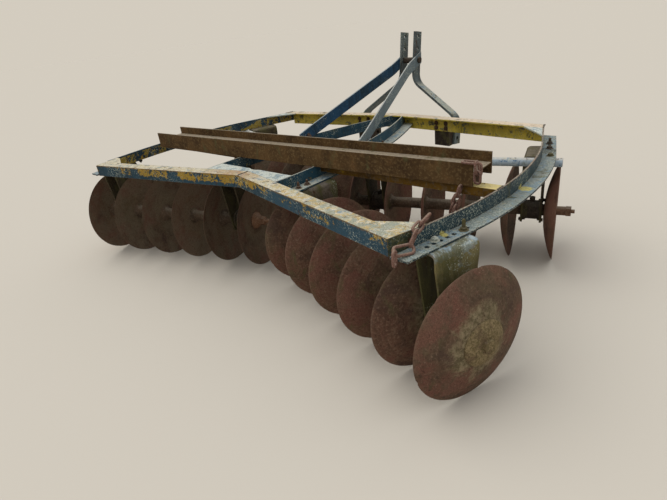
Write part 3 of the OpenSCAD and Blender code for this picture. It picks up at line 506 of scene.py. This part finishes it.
def make_materials():
    """Each material by the name that NODE_LOOK and the pieces made here call it."""
    m = {}
    m["rear"] = paint("rear_paint", (0.018, 0.056, 0.086), (0.010, 0.032, 0.048),
                      (0.44, 0.27, 0.020), 0.30, (0.68, 0.61, 0.46), 10, 0.40, 0.5,
                      blend=(0.36, 0.40, 0.22), side=yellow_side, late=rear_patches)
    m["arc"] = paint("arc_paint", (0.022, 0.048, 0.062), BLUE_DARK, (0.085, 0.080, 0.035), 0.10,
                     (0.225, 0.272, 0.262), 11, 0.30, 0.85, 0.16, 2.0,
                     blend=(0.5, 0.08, 0.12), late=arc_patches)
    m["arc_left"] = paint("left_arc_paint", (0.026, 0.060, 0.085), BLUE_DARK, (0.44, 0.30, 0.030),
                          0.18, BLUE_PALE, 11, 0.35, 0.5, 0.1, 5.0, side=inner_yellow)
    m["rail"] = paint("rail_paint", (0.022, 0.068, 0.100), BLUE_DARK, YELLOW, 0.22,
                      (0.40, 0.43, 0.38), 12, 0.3, 0.5, 0.1, 8.0, blend=(0.4, 0.3, 0.15))
    # The ties' main colour is painted shade: their sides are drawn dark brown, and only their upward faces keep
    # the yellow of their paint
    m["tie"] = paint("tie_paint", (0.125, 0.060, 0.003), (0.052, 0.026, 0.003),
                     (0.32, 0.190, 0.010), 0.3, (0.66, 0.53, 0.20), 11, 0.3, 0.0, 0.0, 11.0,
                     blend=(0.0, 0.2, 0.05))
    m["front"] = paint("front_paint", (0.74, 0.57, 0.085), (0.50, 0.385, 0.060),
                       (0.060, 0.095, 0.105), 0.36, (0.70, 0.56, 0.43), 22, 0.25, 0.3, 0.2,
                       14.0, blend=(0.15, 0.25, 0.1))
    m["plate"] = paint("plate_paint", (0.42, 0.44, 0.33), YELLOW_DARK, (0.42, 0.38, 0.12), 0.3,
                       (0.58, 0.62, 0.57), 12, 0.2, 0.6, 0.0, 17.0, blend=(0.45, 0.1, 0.05))
    m["mast"] = paint("mast_paint", (0.105, 0.130, 0.130), (0.055, 0.066, 0.066),
                      (0.19, 0.27, 0.26), 0.2, (0.36, 0.38, 0.32), 12, 0.35, 0.5, 0.12, 20.0,
                      blend=(0.3, 0.1, 0.2))
    m["brace"] = paint("brace_paint", (0.135, 0.175, 0.190), (0.070, 0.095, 0.105), BLUE, 0.12,
                       (0.40, 0.43, 0.42), 12, 0.25, 0.5, 0.0, 23.0, blend=(0.2, 0.1, 0.1))
    m["brace_left"] = paint("left_brace_paint", (0.022, 0.072, 0.140), BLUE_DARK, BLUE_PALE, 0.10,
                            (0.25, 0.33, 0.38), 12, 0.2, 0.3, 0.0, 26.0)
    m["tube"] = paint("tube_paint", (0.34, 0.41, 0.46), (0.19, 0.24, 0.29),
                      (0.035, 0.110, 0.220), 0.34, (0.52, 0.52, 0.49), 9, 0.4, 0.3, 0.15, 29.0,
                      blend=(0.2, 0.1, 0.15))
    m["hanger"] = paint("hanger_paint", (0.205, 0.168, 0.066), (0.120, 0.098, 0.040),
                        (0.230, 0.270, 0.250), 0.24, (0.36, 0.43, 0.45), 9, 0.35, 0.2, 0.50,
                        32.0, blend=(0.4, 0.1, 0.1), side=hanger_top, late=hanger_patches_and_shade)
    m["disc"] = rusty("disc_rust", (0.084, 0.043, 0.028), (0.164, 0.082, 0.052),
                      (0.235, 0.142, 0.094), 9, 0.12, 0.2, bright=0.3, depth=0.0024,
                      late=disc_layers)
    m["beam"] = rusty("beam_rust", (0.056, 0.030, 0.012), (0.108, 0.060, 0.022),
                      (0.170, 0.110, 0.048), 9, 0.62, 0.12, bright=0.4)
    m["chain"] = rusty("chain_rust", (0.105, 0.050, 0.036), (0.205, 0.112, 0.082),
                       (0.34, 0.22, 0.18), 30, 0.3, bright=0.5)
    m["casting"] = rusty("casting_rust", (0.075, 0.052, 0.035), (0.140, 0.095, 0.062),
                         (0.215, 0.155, 0.108), 12, 0.35, 0.12, bright=0.25)
    m["axle"] = rusty("axle_rust", (0.075, 0.040, 0.024), (0.150, 0.082, 0.048),
                      (0.250, 0.155, 0.100), 14, 0.30, 0.0, bright=0.4, late=hub_moss)
    m["dark"] = rusty("dark_steel", (0.026, 0.020, 0.015), (0.050, 0.038, 0.028),
                      (0.095, 0.072, 0.052), 14, 0.25, 0.25, bright=0.15)
    # Hangers of the other gangs: rusty brown, drawn darker as painted shade where the discs and the frame shade
    # them
    m["rust_and_painted_shade_hanger"] = rusty("brown_painted_shade_hanger", (0.036, 0.028, 0.016), (0.065, 0.050, 0.029),
                            (0.115, 0.090, 0.056), 11, 0.3, 0.45, bright=0.2)
    m["bell"] = rusty("bell_rust", (0.170, 0.086, 0.046), (0.300, 0.160, 0.092),
                      (0.420, 0.260, 0.170), 18, 0.25, 0.0, bright=0.6)
    m["bolt"] = rusty("bolt_rust", (0.045, 0.026, 0.018), (0.105, 0.058, 0.036),
                      (0.17, 0.115, 0.080), 40, 0.3, 0.1, bright=0.4)
    m["mossy_bolt"] = rusty("mossy_bolt", (0.040, 0.034, 0.020), (0.085, 0.070, 0.038),
                            (0.16, 0.130, 0.080), 40, 0.3, 0.7, bright=0.2)
    m["crust"] = rusty("lichen_crust", (0.26, 0.28, 0.23), (0.44, 0.47, 0.40),
                       (0.62, 0.64, 0.56), 60, 0.3, 0.1, bright=0.1)
    m["weld"] = rusty("weld_bead", (0.05, 0.045, 0.040), (0.09, 0.080, 0.066),
                      (0.16, 0.14, 0.11), 30, 0.4, 0.1, bright=0.2)
    return m


# Mesh helpers, with the angle from which edges are sharp, a weld's ripple and a washer
SHARP_FROM = math.radians(38)
RIPPLE = 0.005
WASHER_T = 0.0024


def make_object(name, bm, material, body):
    """Turn a mesh in the making into a piece that rides on a body."""
    mesh = bpy.data.meshes.new(name)
    bmesh.ops.recalc_face_normals(bm, faces=bm.faces)
    bm.to_mesh(mesh)
    bm.free()
    mesh.polygons.foreach_set("use_smooth", [True] * len(mesh.polygons))
    mesh.set_sharp_from_angle(angle=SHARP_FROM)
    mesh.materials.append(material)
    obj = bpy.data.objects.new(name, mesh)
    bpy.context.scene.collection.objects.link(obj)
    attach(obj, body)
    return obj


def sideways(direction):
    """Two directions square to the given one and to each other."""
    d = Vector(direction).normalized()
    other = UP if abs(d.z) < 0.9 else Vector((1, 0, 0))
    a = d.cross(other).normalized()
    return a, d.cross(a)


def loft(bm, rings, closed=False):
    """Skin between rings of points, each a list of vectors; it gets end faces unless closed."""
    rows = [[bm.verts.new(p) for p in ring] for ring in rings]
    count = len(rows)
    for i in range(count if closed else count - 1):
        a, b = rows[i], rows[(i + 1) % count]
        for j in range(len(a)):
            k = (j + 1) % len(a)
            bm.faces.new((a[j], a[k], b[k], b[j]))
    if not closed:
        bm.faces.new(list(reversed(rows[0])))
        bm.faces.new(rows[-1])


def turned(bm, centre, axis, profile, sides, spin=0.0):
    """Solid turned round an axis, from a profile of distances along it and radii."""
    d = Vector(axis).normalized()
    a, b = sideways(d)
    rings = []
    for along, radius in profile:
        rings.append([centre + d * along + (a * math.cos(t) + b * math.sin(t)) * radius
                      for t in (2 * math.pi * j / sides + spin for j in range(sides))])
    loft(bm, rings)


def bolt(bm, place, out, size, stud, washer=True):
    """Six-sided nut on a face, with its washer below and the stud's end standing out."""
    at = Vector(place)
    spin = rng.random() * 6
    base = 0.0
    if washer:
        turned(bm, at, out, [(0, size * 1.55), (WASHER_T * 0.75, size * 1.55),
                             (WASHER_T, size * 1.4)], 20)
        base = WASHER_T
    nut = size * 0.85
    turned(bm, at, out, [(base, size * 1.0), (base + nut * 0.15, size * 1.13),
                         (base + nut * 0.8, size * 1.13), (base + nut, size * 0.92)], 6, spin)
    if stud:
        turned(bm, at, out, [(base + nut * 0.9, size * 0.58),
                             (base + nut + stud * 0.8, size * 0.58),
                             (base + nut + stud, size * 0.42)], 12)


def weld(bm, start, end, radius):
    """Bead of overlapping ripples from one point to another."""
    run = end - start
    count = max(2, int(run.length / RIPPLE))
    a, b = sideways(run)
    rings = []
    for i in range(count + 1):
        r = radius * (0.86 + 0.28 * (i % 2)) * (1 + 0.2 * math.sin(i * 1.7))
        if i in (0, count):
            r *= 0.4
        sway = Vector((math.sin(i * 0.9), math.cos(i * 1.3), math.sin(i * 0.6)))
        rings.append([start + run * i / count + sway * radius * 0.12
                      + (a * math.cos(t) + b * math.sin(t)) * r
                      for t in (2 * math.pi * j / 7 for j in range(7))])
    loft(bm, rings)


# Gangs
def gang_frame(row, side):
    """Middle of a gang's first disc's rim, the direction to its last disc, and level across."""
    joint = [j for j in frame["joints"] if j["name"] == f"gang_{row}_{side}_spin"][0]
    along = Vector(joint["axis"])
    if row == "front":
        along = -along
    return Vector(joint["pos_m"]), along, UP.cross(along).normalized()


# Rings of points on each face of a disc, its bevel's start and edge, and its rim's uneven
# wear, least wear and rounding
DISC_RADII = [0.0235, 0.06, 0.10, 0.14, 0.18, 0.215, 0.243, 0.259, 0.268, 0.2745, 0.2775]
DISC_SIDES = 120
BEVEL_FROM = 0.252
EDGE_T = 0.0012
RIM_WEAR = 0.0009
RIM_BACK = 0.0002
RIM_ROUND = 0.0006


def hollow_x(r):
    """How far along the axle a disc's hollow face lies at a radius, from its rim's plane."""
    return math.sqrt(DISH_R ** 2 - r * r) - (DISH_R - DISH)


def bulge_x(r):
    """The same for its other face, which is ground to a bevel near the rim."""
    full = math.sqrt((DISH_R + DISC_T) ** 2 - r * r) - (DISH_R - DISH)
    worn = max(0.0, (r - BEVEL_FROM) / (DISC_R - BEVEL_FROM))
    return full - worn ** 1.5 * (DISC_T - EDGE_T)


def disc_mesh(bm, origin, along, level, number, layers):
    """One dished disc: its outer edge is ground to a bevel, worn uneven and nicked. Each
    vertex carries the disc's tone and its share of the radius for the material."""
    tone_layer, rad_layer = layers
    tone = rng.random()
    seed = number * 7.31
    nicks = [(rng.random() * 2 * math.pi, rng.uniform(0.012, 0.035), rng.uniform(0.001, 0.0035))
             for _ in range(rng.randint(4, 8))]

    def rim(t):
        wear = RIM_WEAR * (1 + noise.noise(Vector((math.cos(t) * 2, math.sin(t) * 2, seed))))
        for at, width, deep in nicks:
            gap = abs((t - at + math.pi) % (2 * math.pi) - math.pi)
            if gap < width:
                wear += deep * (1 - gap / width)
        return DISC_R - RIM_BACK - wear

    def ring(surface, radius, to_rim=False):
        row = []
        for j in range(DISC_SIDES):
            t = 2 * math.pi * j / DISC_SIDES
            r = rim(t) if to_rim else min(radius, rim(t) - RIM_ROUND)
            v = bm.verts.new(origin + along * surface(r)
                             + (level * math.cos(t) + UP * math.sin(t)) * r)
            v[tone_layer] = tone
            v[rad_layer] = r / DISC_R
            row.append(v)
        return row

    def middle(r):
        return (hollow_x(r) + bulge_x(r)) / 2

    rows = [ring(hollow_x, r) for r in DISC_RADII] + [ring(middle, DISC_R, True)]
    rows += [ring(bulge_x, r) for r in reversed(DISC_RADII)]
    for i in range(len(rows)):
        a, b = rows[i], rows[(i + 1) % len(rows)]
        for j in range(DISC_SIDES):
            k = (j + 1) % DISC_SIDES
            bm.faces.new((a[j], b[j], b[k], a[k]))


def make_discs(row, side, material):
    """The six discs of one gang, in place of the plain ones."""
    origin, along, level = gang_frame(row, side)
    bm = bmesh.new()
    layers = (bm.verts.layers.float.new("tone"), bm.verts.layers.float.new("rad"))
    for i in range(DISCS):
        place = origin + along * PITCH[row] * i
        disc_mesh(bm, place, along, level, i + 10 * len(row + side), layers)
    obj = make_object(f"discs_{row}_{side}_worn", bm, material, f"gang_{row}_{side}")
    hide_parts(f"discs_{row}_{side}")


# Chains, with a link's wire, length, width and play
WIRE_R = 0.0055
LINK_L = 0.066
LINK_W = 0.038
SLACK = 0.001


def link(bm, centre, along, across, length=LINK_L, width=LINK_W, wire=WIRE_R):
    """One link of round wire, with its length along and its width across."""
    d = Vector(along).normalized()
    w = (Vector(across) - d * Vector(across).dot(d)).normalized()
    thick = d.cross(w)
    arc_r = width / 2 - wire
    half = length / 2 - width / 2
    rings = []
    arc_steps = 9
    for sign in (1, -1):
        for i in range(arc_steps + 1):
            t = -math.pi / 2 + math.pi * i / arc_steps
            out = (d * math.cos(t) + w * math.sin(t)) * sign
            place = Vector(centre) + d * half * sign + out * arc_r
            rings.append([place + (out * math.cos(q) + thick * math.sin(q)) * wire
                          for q in (2 * math.pi * j / 10 for j in range(10))])
    loft(bm, rings, closed=True)


def chain_between(bm, points, first_across):
    """Links along a line of points, every other one turned; each link's wire rests in the
    bend of the one before."""
    path = [Vector(p) for p in points]
    lengths = [(b - a).length for a, b in zip(path, path[1:])]
    total = sum(lengths)
    pitch = LINK_L - 4 * WIRE_R - SLACK
    count = max(1, int(total / pitch))

    def walk(dist):
        for a, b, run in zip(path, path[1:], lengths):
            if dist <= run:
                return a.lerp(b, dist / run)
            dist -= run
        return path[-1] + (path[-1] - path[-2]).normalized() * dist

    across = Vector(first_across)
    for i in range(count):
        a, b = walk(i * pitch), walk((i + 1) * pitch)
        d = (b - a).normalized()
        across = (across - d * across.dot(d)).normalized()
        link(bm, (a + b) / 2, d, across)
        across = d.cross(across)


def beam_at(x, y, z):
    """Place along the skewed beam, across it and over the frame's top."""
    c, s = math.cos(BEAM_SKEW), math.sin(BEAM_SKEW)
    return mark(BEAM_PLACE[0] + x * c - y * s, BEAM_PLACE[1] + x * s + y * c, TOP + z)


def arc_at(y, out, z):
    """Place along the right arc's straight rear end, out from its web, and up."""
    return mark(arc_x(y) + out * math.cos(ARC_REAR), y + out * math.sin(ARC_REAR), z)


def add_chains(material):
    """The chain that hangs from the beam's end, and the stiff one over the right rear corner."""
    bm = bmesh.new()
    length = beam_at(1, 0, 0) - beam_at(0, 0, 0)
    width = beam_at(0, 1, 0) - beam_at(0, 0, 0)
    link(bm, beam_at(1178, -101, 106.2), length, width, 0.078)
    # Runs of links, as places for beam_at, each with the way that its first link is wide
    for run, across in (
            (((1207, -104, 107), (1211, -101, 88), (1209, -96, 10)), (0, 1, 0)),
            (((1197, -62, 88), (1200, -66, 40), (1203, -74, 6)), (1, 0, 0)),
            (((1139, -110, -2), (1128, -112, -52), (1102, -112, -96), (1094, -112, -148)),
             (0, 1, 0)),
            (((1131, -116, -48), (1122, -118, -100), (1116, -118, -146)), (1, 0, 0))):
        chain_between(bm, [beam_at(*place) for place in run], across)
    obj = make_object("beam_chain_links", bm, material, "frame")
    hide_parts("beam_chain")

    bm = bmesh.new()
    outward = Vector((math.cos(ARC_REAR), math.sin(ARC_REAR), 0))

    def laid(start, end, facing, length):
        """Link between two places on the arc; facing 0 shows its edge to the photograph's
        camera, 1 its opening."""
        a, b = arc_at(*start), arc_at(*end)
        view = (CAM_PLACE - (a + b) / 2).normalized()
        side = (b - a).cross(view).normalized()
        link(bm, (a + b) / 2, b - a, view * (1 - facing) + side * facing, length)

    laid((-657, -6, 722), (-715, 0, 701), 0.15, 0.074)
    laid((-706, 2, 707), (-752, 11, 694), 0.75, 0.064)
    laid((-738, 11, 696), (-784, 21, 650), 0.2, 0.076)
    link(bm, arc_at(-816, 24, 650), arc_at(-860, 18, 657) - arc_at(-771, 29, 643),
         outward * 0.55 - UP * 0.6, 0.098, 0.046, 0.006)
    laid((-861, 27, 664), (-868, 33, 612), 0.3, 0.066)
    obj = make_object("corner_chain_links", bm, material, "frame")
    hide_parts("corner_chain")


# Fastenings, with each nut's inner radius
ARC_NUT = 0.0125
NUT = 0.0115
TIE_NUT = 0.011
BRACKET_NUT = 0.0105
HOUSING_NUT = 0.0085


def add_bolts(m):
    """Studs and nuts of the frame. The tables give places along an arc or rail, distances out
    from its web, and how far each stud stands out."""
    # The right arc's own: two mossy ones, one crusted with lichen and two dark ones
    for name, kind, places in (
            ("mossy_stud", "mossy_bolt", ((-538, 40, 0.032), (480, 42, 0.0))),
            ("crusted_nut", "crust", ((-666, 20, 0.004),)),
            ("dark_studs", "dark", ((607, 36, 0.006), (700, 36, 0.020)))):
        bm = bmesh.new()
        for y, out, stud in places:
            bolt(bm, mark(arc_x(y) + out, y, FLANGE_TOP), UP, ARC_NUT, stud)
        make_object(name, bm, m[kind], "frame")
    bm = bmesh.new()
    for s in (1, -1):
        # Studs that hold the hangers, through the side arcs' flanges
        for y, out, stud in ((-538, 40, 0.030), (-478, 36, 0.022), (607, 36, 0.018),
                             (700, 36, 0.018)):
            if s < 0:
                bolt(bm, mark(s * (arc_x(y) + out), y, FLANGE_TOP), UP, ARC_NUT, stud)
            bolt(bm, mark(s * (arc_x(y) + out), y, WEB_LOW - 10), -UP, NUT, 0.008, False)
        # Studs through the inner rails' flanges
        for y, stud in ((-462, 0.022), (-400, 0.016), (300, 0.020), (372, 0.018)):
            bolt(bm, mark(s * (rail_x(y) + 36), y, FLANGE_TOP), UP, NUT, stud)
        # Brace feet, bolted to the inside of the rails
        for y in (172, 216):
            z = BRACE_FOOT[1] - (BRACE_FOOT[0] - y) * BRACE_SLOPE
            x = rail_x(y) - IRON_T - BRACE_T
            bolt(bm, mark(s * x, y, z - 22), (-s, 0, 0), NUT, 0.010)
        # Hitch brackets, bolted through the front bar
        for x in (305, 385):
            for z in (612, 645):
                y = FRONT_MID_Y - x * FRONT_DROP / CORNER_X
                bolt(bm, mark(s * x, y - IRON_T, z), (0, -1, 0), BRACKET_NUT, 0.008)
    for s in (1, -1):
        bolt(bm, mark(s * 1160, -222, TOP), UP, TIE_NUT, 0.012)
    make_object("frame_bolts", bm, m["bolt"], "frame")


# Turned forms at a rear gang's inner end: places along the axle from its disc, and radii
BELL = ((-0.058, 0.0515), (-0.060, 0.0535), (-0.056, 0.0545), (-0.050, 0.0490), (-0.036, 0.036),
        (-0.026, 0.031), (-0.014, 0.030), (-0.012, 0.027))
BELL_NUT = ((-0.018, 0.0255), (-0.014, 0.0290), (0.006, 0.0290), (0.010, 0.0255))
BELL_STUB = ((-0.010, 0.0150), (0.040, 0.0150), (0.045, 0.0115))


def add_bells(material):
    """The flared end washer and nut at the bare inner end of each rear gang's axle."""
    for side in ("right", "left"):
        origin, along, _ = gang_frame("rear", side)
        bm = bmesh.new()
        turned(bm, origin, -along, BELL, 40)
        turned(bm, origin, -along, BELL_NUT, 6, 0.3)
        turned(bm, origin, -along, BELL_STUB, 20)
        make_object(f"end_bell_rear_{side}", bm, material, f"gang_rear_{side}")


def add_hub_bolts(material):
    """Clamp bolts of the bearing housings, on the hangers' legs."""
    bm = bmesh.new()
    for row, (first, last) in HOUSING_IN.items():
        for side in ("right", "left"):
            origin, along, level = gang_frame(row, side)
            for place in (first, (DISCS - 1) * PITCH[row] - last):
                for sign in (1, -1):
                    face = origin + along * (place + sign * HOUSING_HALF)
                    for b in (0.040, -0.040):
                        for a in (0.052, -0.052):
                            bolt(bm, face + level * a + UP * b, along * sign, HOUSING_NUT, 0.0)
    make_object("housing_bolts", bm, material, "frame")


def add_welds(material):
    """Beads where the ties meet the arcs and rails, at the front corners and at the rear bend."""
    bm = bmesh.new()
    for s in (1, -1):
        for y in (-250, -190):
            x = arc_x(y) - IRON_T
            weld(bm, mark(s * (x - 2), y, TOP), mark(s * (x - 2), y - 0.1, TOP - 38), 0.003)
        x = arc_x(-220) - IRON_T
        weld(bm, mark(s * x, -248, TOP), mark(s * x, -192, TOP), 0.0034)
        x = rail_x(-220)
        weld(bm, mark(s * x, -248, TOP), mark(s * (x + 0.5), -192, TOP), 0.0034)
        weld(bm, mark(s * CORNER_X, 871, TOP + 0.5), mark(s * 1096, 795, TOP + 0.5), 0.0034)
    weld(bm, mark(0, -579, TOP + 0.3), mark(0, -505, TOP + 0.3), 0.0036)
    make_object("weld_beads", bm, material, "frame")


# Stage: the sky is brightest overhead, and the sun is wide and soft
FLOOR_HALF = 60
FLOOR = (0.60, 0.545, 0.465)
SKY = (0.94, 0.97, 1.0)
SKY_TOP = 1.12
SUN = (1.0, 0.97, 0.92)
SUN_LEVEL = 1.0
SUN_FROM = Vector((-0.55, -0.25, 1.0)).normalized()
SUN_WIDE = math.radians(60)


def floor_seen():
    """How bright the open floor comes out under this sky and sun; the backdrop is the same,
    so that no line shows where the floor ends. A sky that fades to a third at the horizon
    gives level ground 7/9 of an even one's light."""
    sky_share = SKY_TOP * 7 / 9
    sun_share = SUN_LEVEL * SUN_FROM.z / math.pi
    return [f * (c * sky_share + w * sun_share) for f, c, w in zip(FLOOR, SKY, SUN)]


def stage_material(name, colour):
    mat = bpy.data.materials.new(name)
    mat.use_nodes = True
    bsdf = mat.node_tree.nodes["Principled BSDF"]
    bsdf.inputs["Base Color"].default_value = (*colour, 1)
    bsdf.inputs["Roughness"].default_value = 1.0
    bsdf.inputs["Specular IOR Level"].default_value = 0.0
    return mat


def add_stage():
    """The pale floor."""
    h = FLOOR_HALF
    mesh = bpy.data.meshes.new("floor")
    mesh.from_pydata([(-h, -h, 0), (h, -h, 0), (h, h, 0), (-h, h, 0)], [], [(0, 1, 2, 3)])
    mesh.materials.append(stage_material("floor_pale", FLOOR))
    floor = bpy.data.objects.new("floor", mesh)
    bpy.context.scene.collection.objects.link(floor)


def add_light():
    """An overcast sky, three times as bright overhead as at the horizon, and a soft sun.
    The camera, glossy surfaces and glass see the floor's colour in place of that sky."""
    world = bpy.data.worlds.new("studio")
    bpy.context.scene.world = world
    world.use_nodes = True
    tree = world.node_tree
    light = tree.nodes["Background"]
    light.inputs[0].default_value = (*SKY, 1)
    where = tree.nodes.new("ShaderNodeTexCoord")
    split = tree.nodes.new("ShaderNodeSeparateXYZ")
    tree.links.new(where.outputs["Generated"], split.inputs[0])
    level = tree.nodes.new("ShaderNodeMapRange")
    for socket, value in zip(level.inputs[1:5], (0.0, 1.0, SKY_TOP / 3, SKY_TOP)):
        socket.default_value = value
    tree.links.new(split.outputs[2], level.inputs[0])
    tree.links.new(level.outputs[0], light.inputs[1])
    seen = tree.nodes.new("ShaderNodeBackground")
    seen.inputs[0].default_value = (*floor_seen(), 1)
    path = tree.nodes.new("ShaderNodeLightPath")
    direct = path.outputs["Is Camera Ray"]
    for kind in ("Is Glossy Ray", "Is Transmission Ray"):
        either = tree.nodes.new("ShaderNodeMath")
        either.operation = "MAXIMUM"
        tree.links.new(direct, either.inputs[0])
        tree.links.new(path.outputs[kind], either.inputs[1])
        direct = either.outputs[0]
    mix = tree.nodes.new("ShaderNodeMixShader")
    tree.links.new(direct, mix.inputs[0])
    tree.links.new(light.outputs[0], mix.inputs[1])
    tree.links.new(seen.outputs[0], mix.inputs[2])
    tree.links.new(mix.outputs[0], tree.nodes["World Output"].inputs["Surface"])
    lamp = bpy.data.lights.new("sun", "SUN")
    lamp.energy = SUN_LEVEL
    lamp.color = SUN
    lamp.angle = SUN_WIDE
    obj = bpy.data.objects.new("sun", lamp)
    obj.rotation_euler = (-SUN_FROM).to_track_quat("-Z", "Y").to_euler()
    bpy.context.scene.collection.objects.link(obj)


# The frame's nodes, by the start of their names, with the material of each
NODE_LOOK = (("rear_bar", "rear"), ("front_bar", "front"), ("side_arc_right", "arc"),
             ("side_arc_left", "arc_left"), ("inner_rail_", "rail"), ("cross_tie_", "tie"),
             ("gusset_plates", "plate"), ("mast_bar_", "mast"), ("mast_brace_right", "brace"),
             ("mast_brace_left", "brace_left"), ("mast_bolt", "dark"), ("hitch_bracket_", "dark"),
             ("gang_tube_", "tube"), ("ballast_beam", "beam"), ("hangers_rear_right", "hanger"),
             # The other hangers take the dark rust that carries painted shade
             ("hangers_", "rust_and_painted_shade_hanger"), ("bearings_", "dark"), ("spools_", "casting"),
             ("axle_", "axle"))


def dress_nodes(m):
    """Put the materials on the frame's own nodes."""
    for name, obj in frame["nodes"].items():
        for start, look in NODE_LOOK:
            if name.startswith(start):
                for slot in obj.material_slots:
                    slot.material = m[look]
                break


add_camera()
look = make_materials()
dress_nodes(look)
for row in ("rear", "front"):
    for side in ("right", "left"):
        make_discs(row, side, look["disc"])
add_chains(look["chain"])
add_bolts(look)
add_bells(look["bell"])
add_hub_bolts(look["bolt"])
add_welds(look["weld"])
add_stage()
add_light()
bpy.context.scene.view_settings.view_transform = "Standard"
